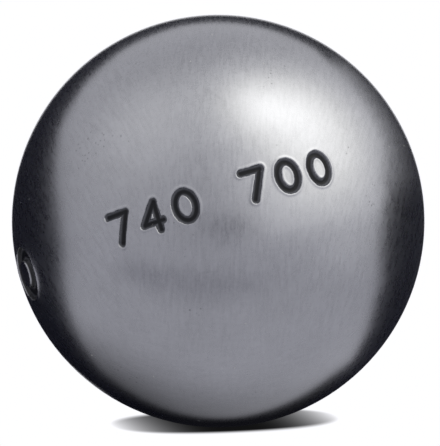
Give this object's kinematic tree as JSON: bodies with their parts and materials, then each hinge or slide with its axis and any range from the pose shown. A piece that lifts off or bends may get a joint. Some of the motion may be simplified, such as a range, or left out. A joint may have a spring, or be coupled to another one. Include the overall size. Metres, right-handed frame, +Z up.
{
  "type": "petanque boule",
  "caption": "Hollow steel ball for petanque, welded from pressed half shells and turned smooth, with its diameter, weight and set number stamped in and filled with black paint.",
  "frame": {"origin": "centre of the ball", "axes": "+Z up; +Y from the front pole to the back pole, square to the welded seam; -Y points out of the marked front"},
  "size_m": [0.074, 0.074, 0.074],
  "materials": {
    "shell_steel": "satin",
    "weld_steel": "satin",
    "mark_paint": "matte"
  },
  "bodies": {
    "root": {"front_half_shell": "shell_steel", "back_half_shell": "shell_steel", "weld_bead": "weld_steel", "size_mark_paint_1": "mark_paint", "size_mark_paint_2": "mark_paint", "size_mark_paint_3": "mark_paint", "size_mark_paint_4": "mark_paint", "size_mark_paint_5": "mark_paint", "size_mark_paint_6": "mark_paint", "set_mark_paint_1": "mark_paint"}
  },
  "joints": []
}
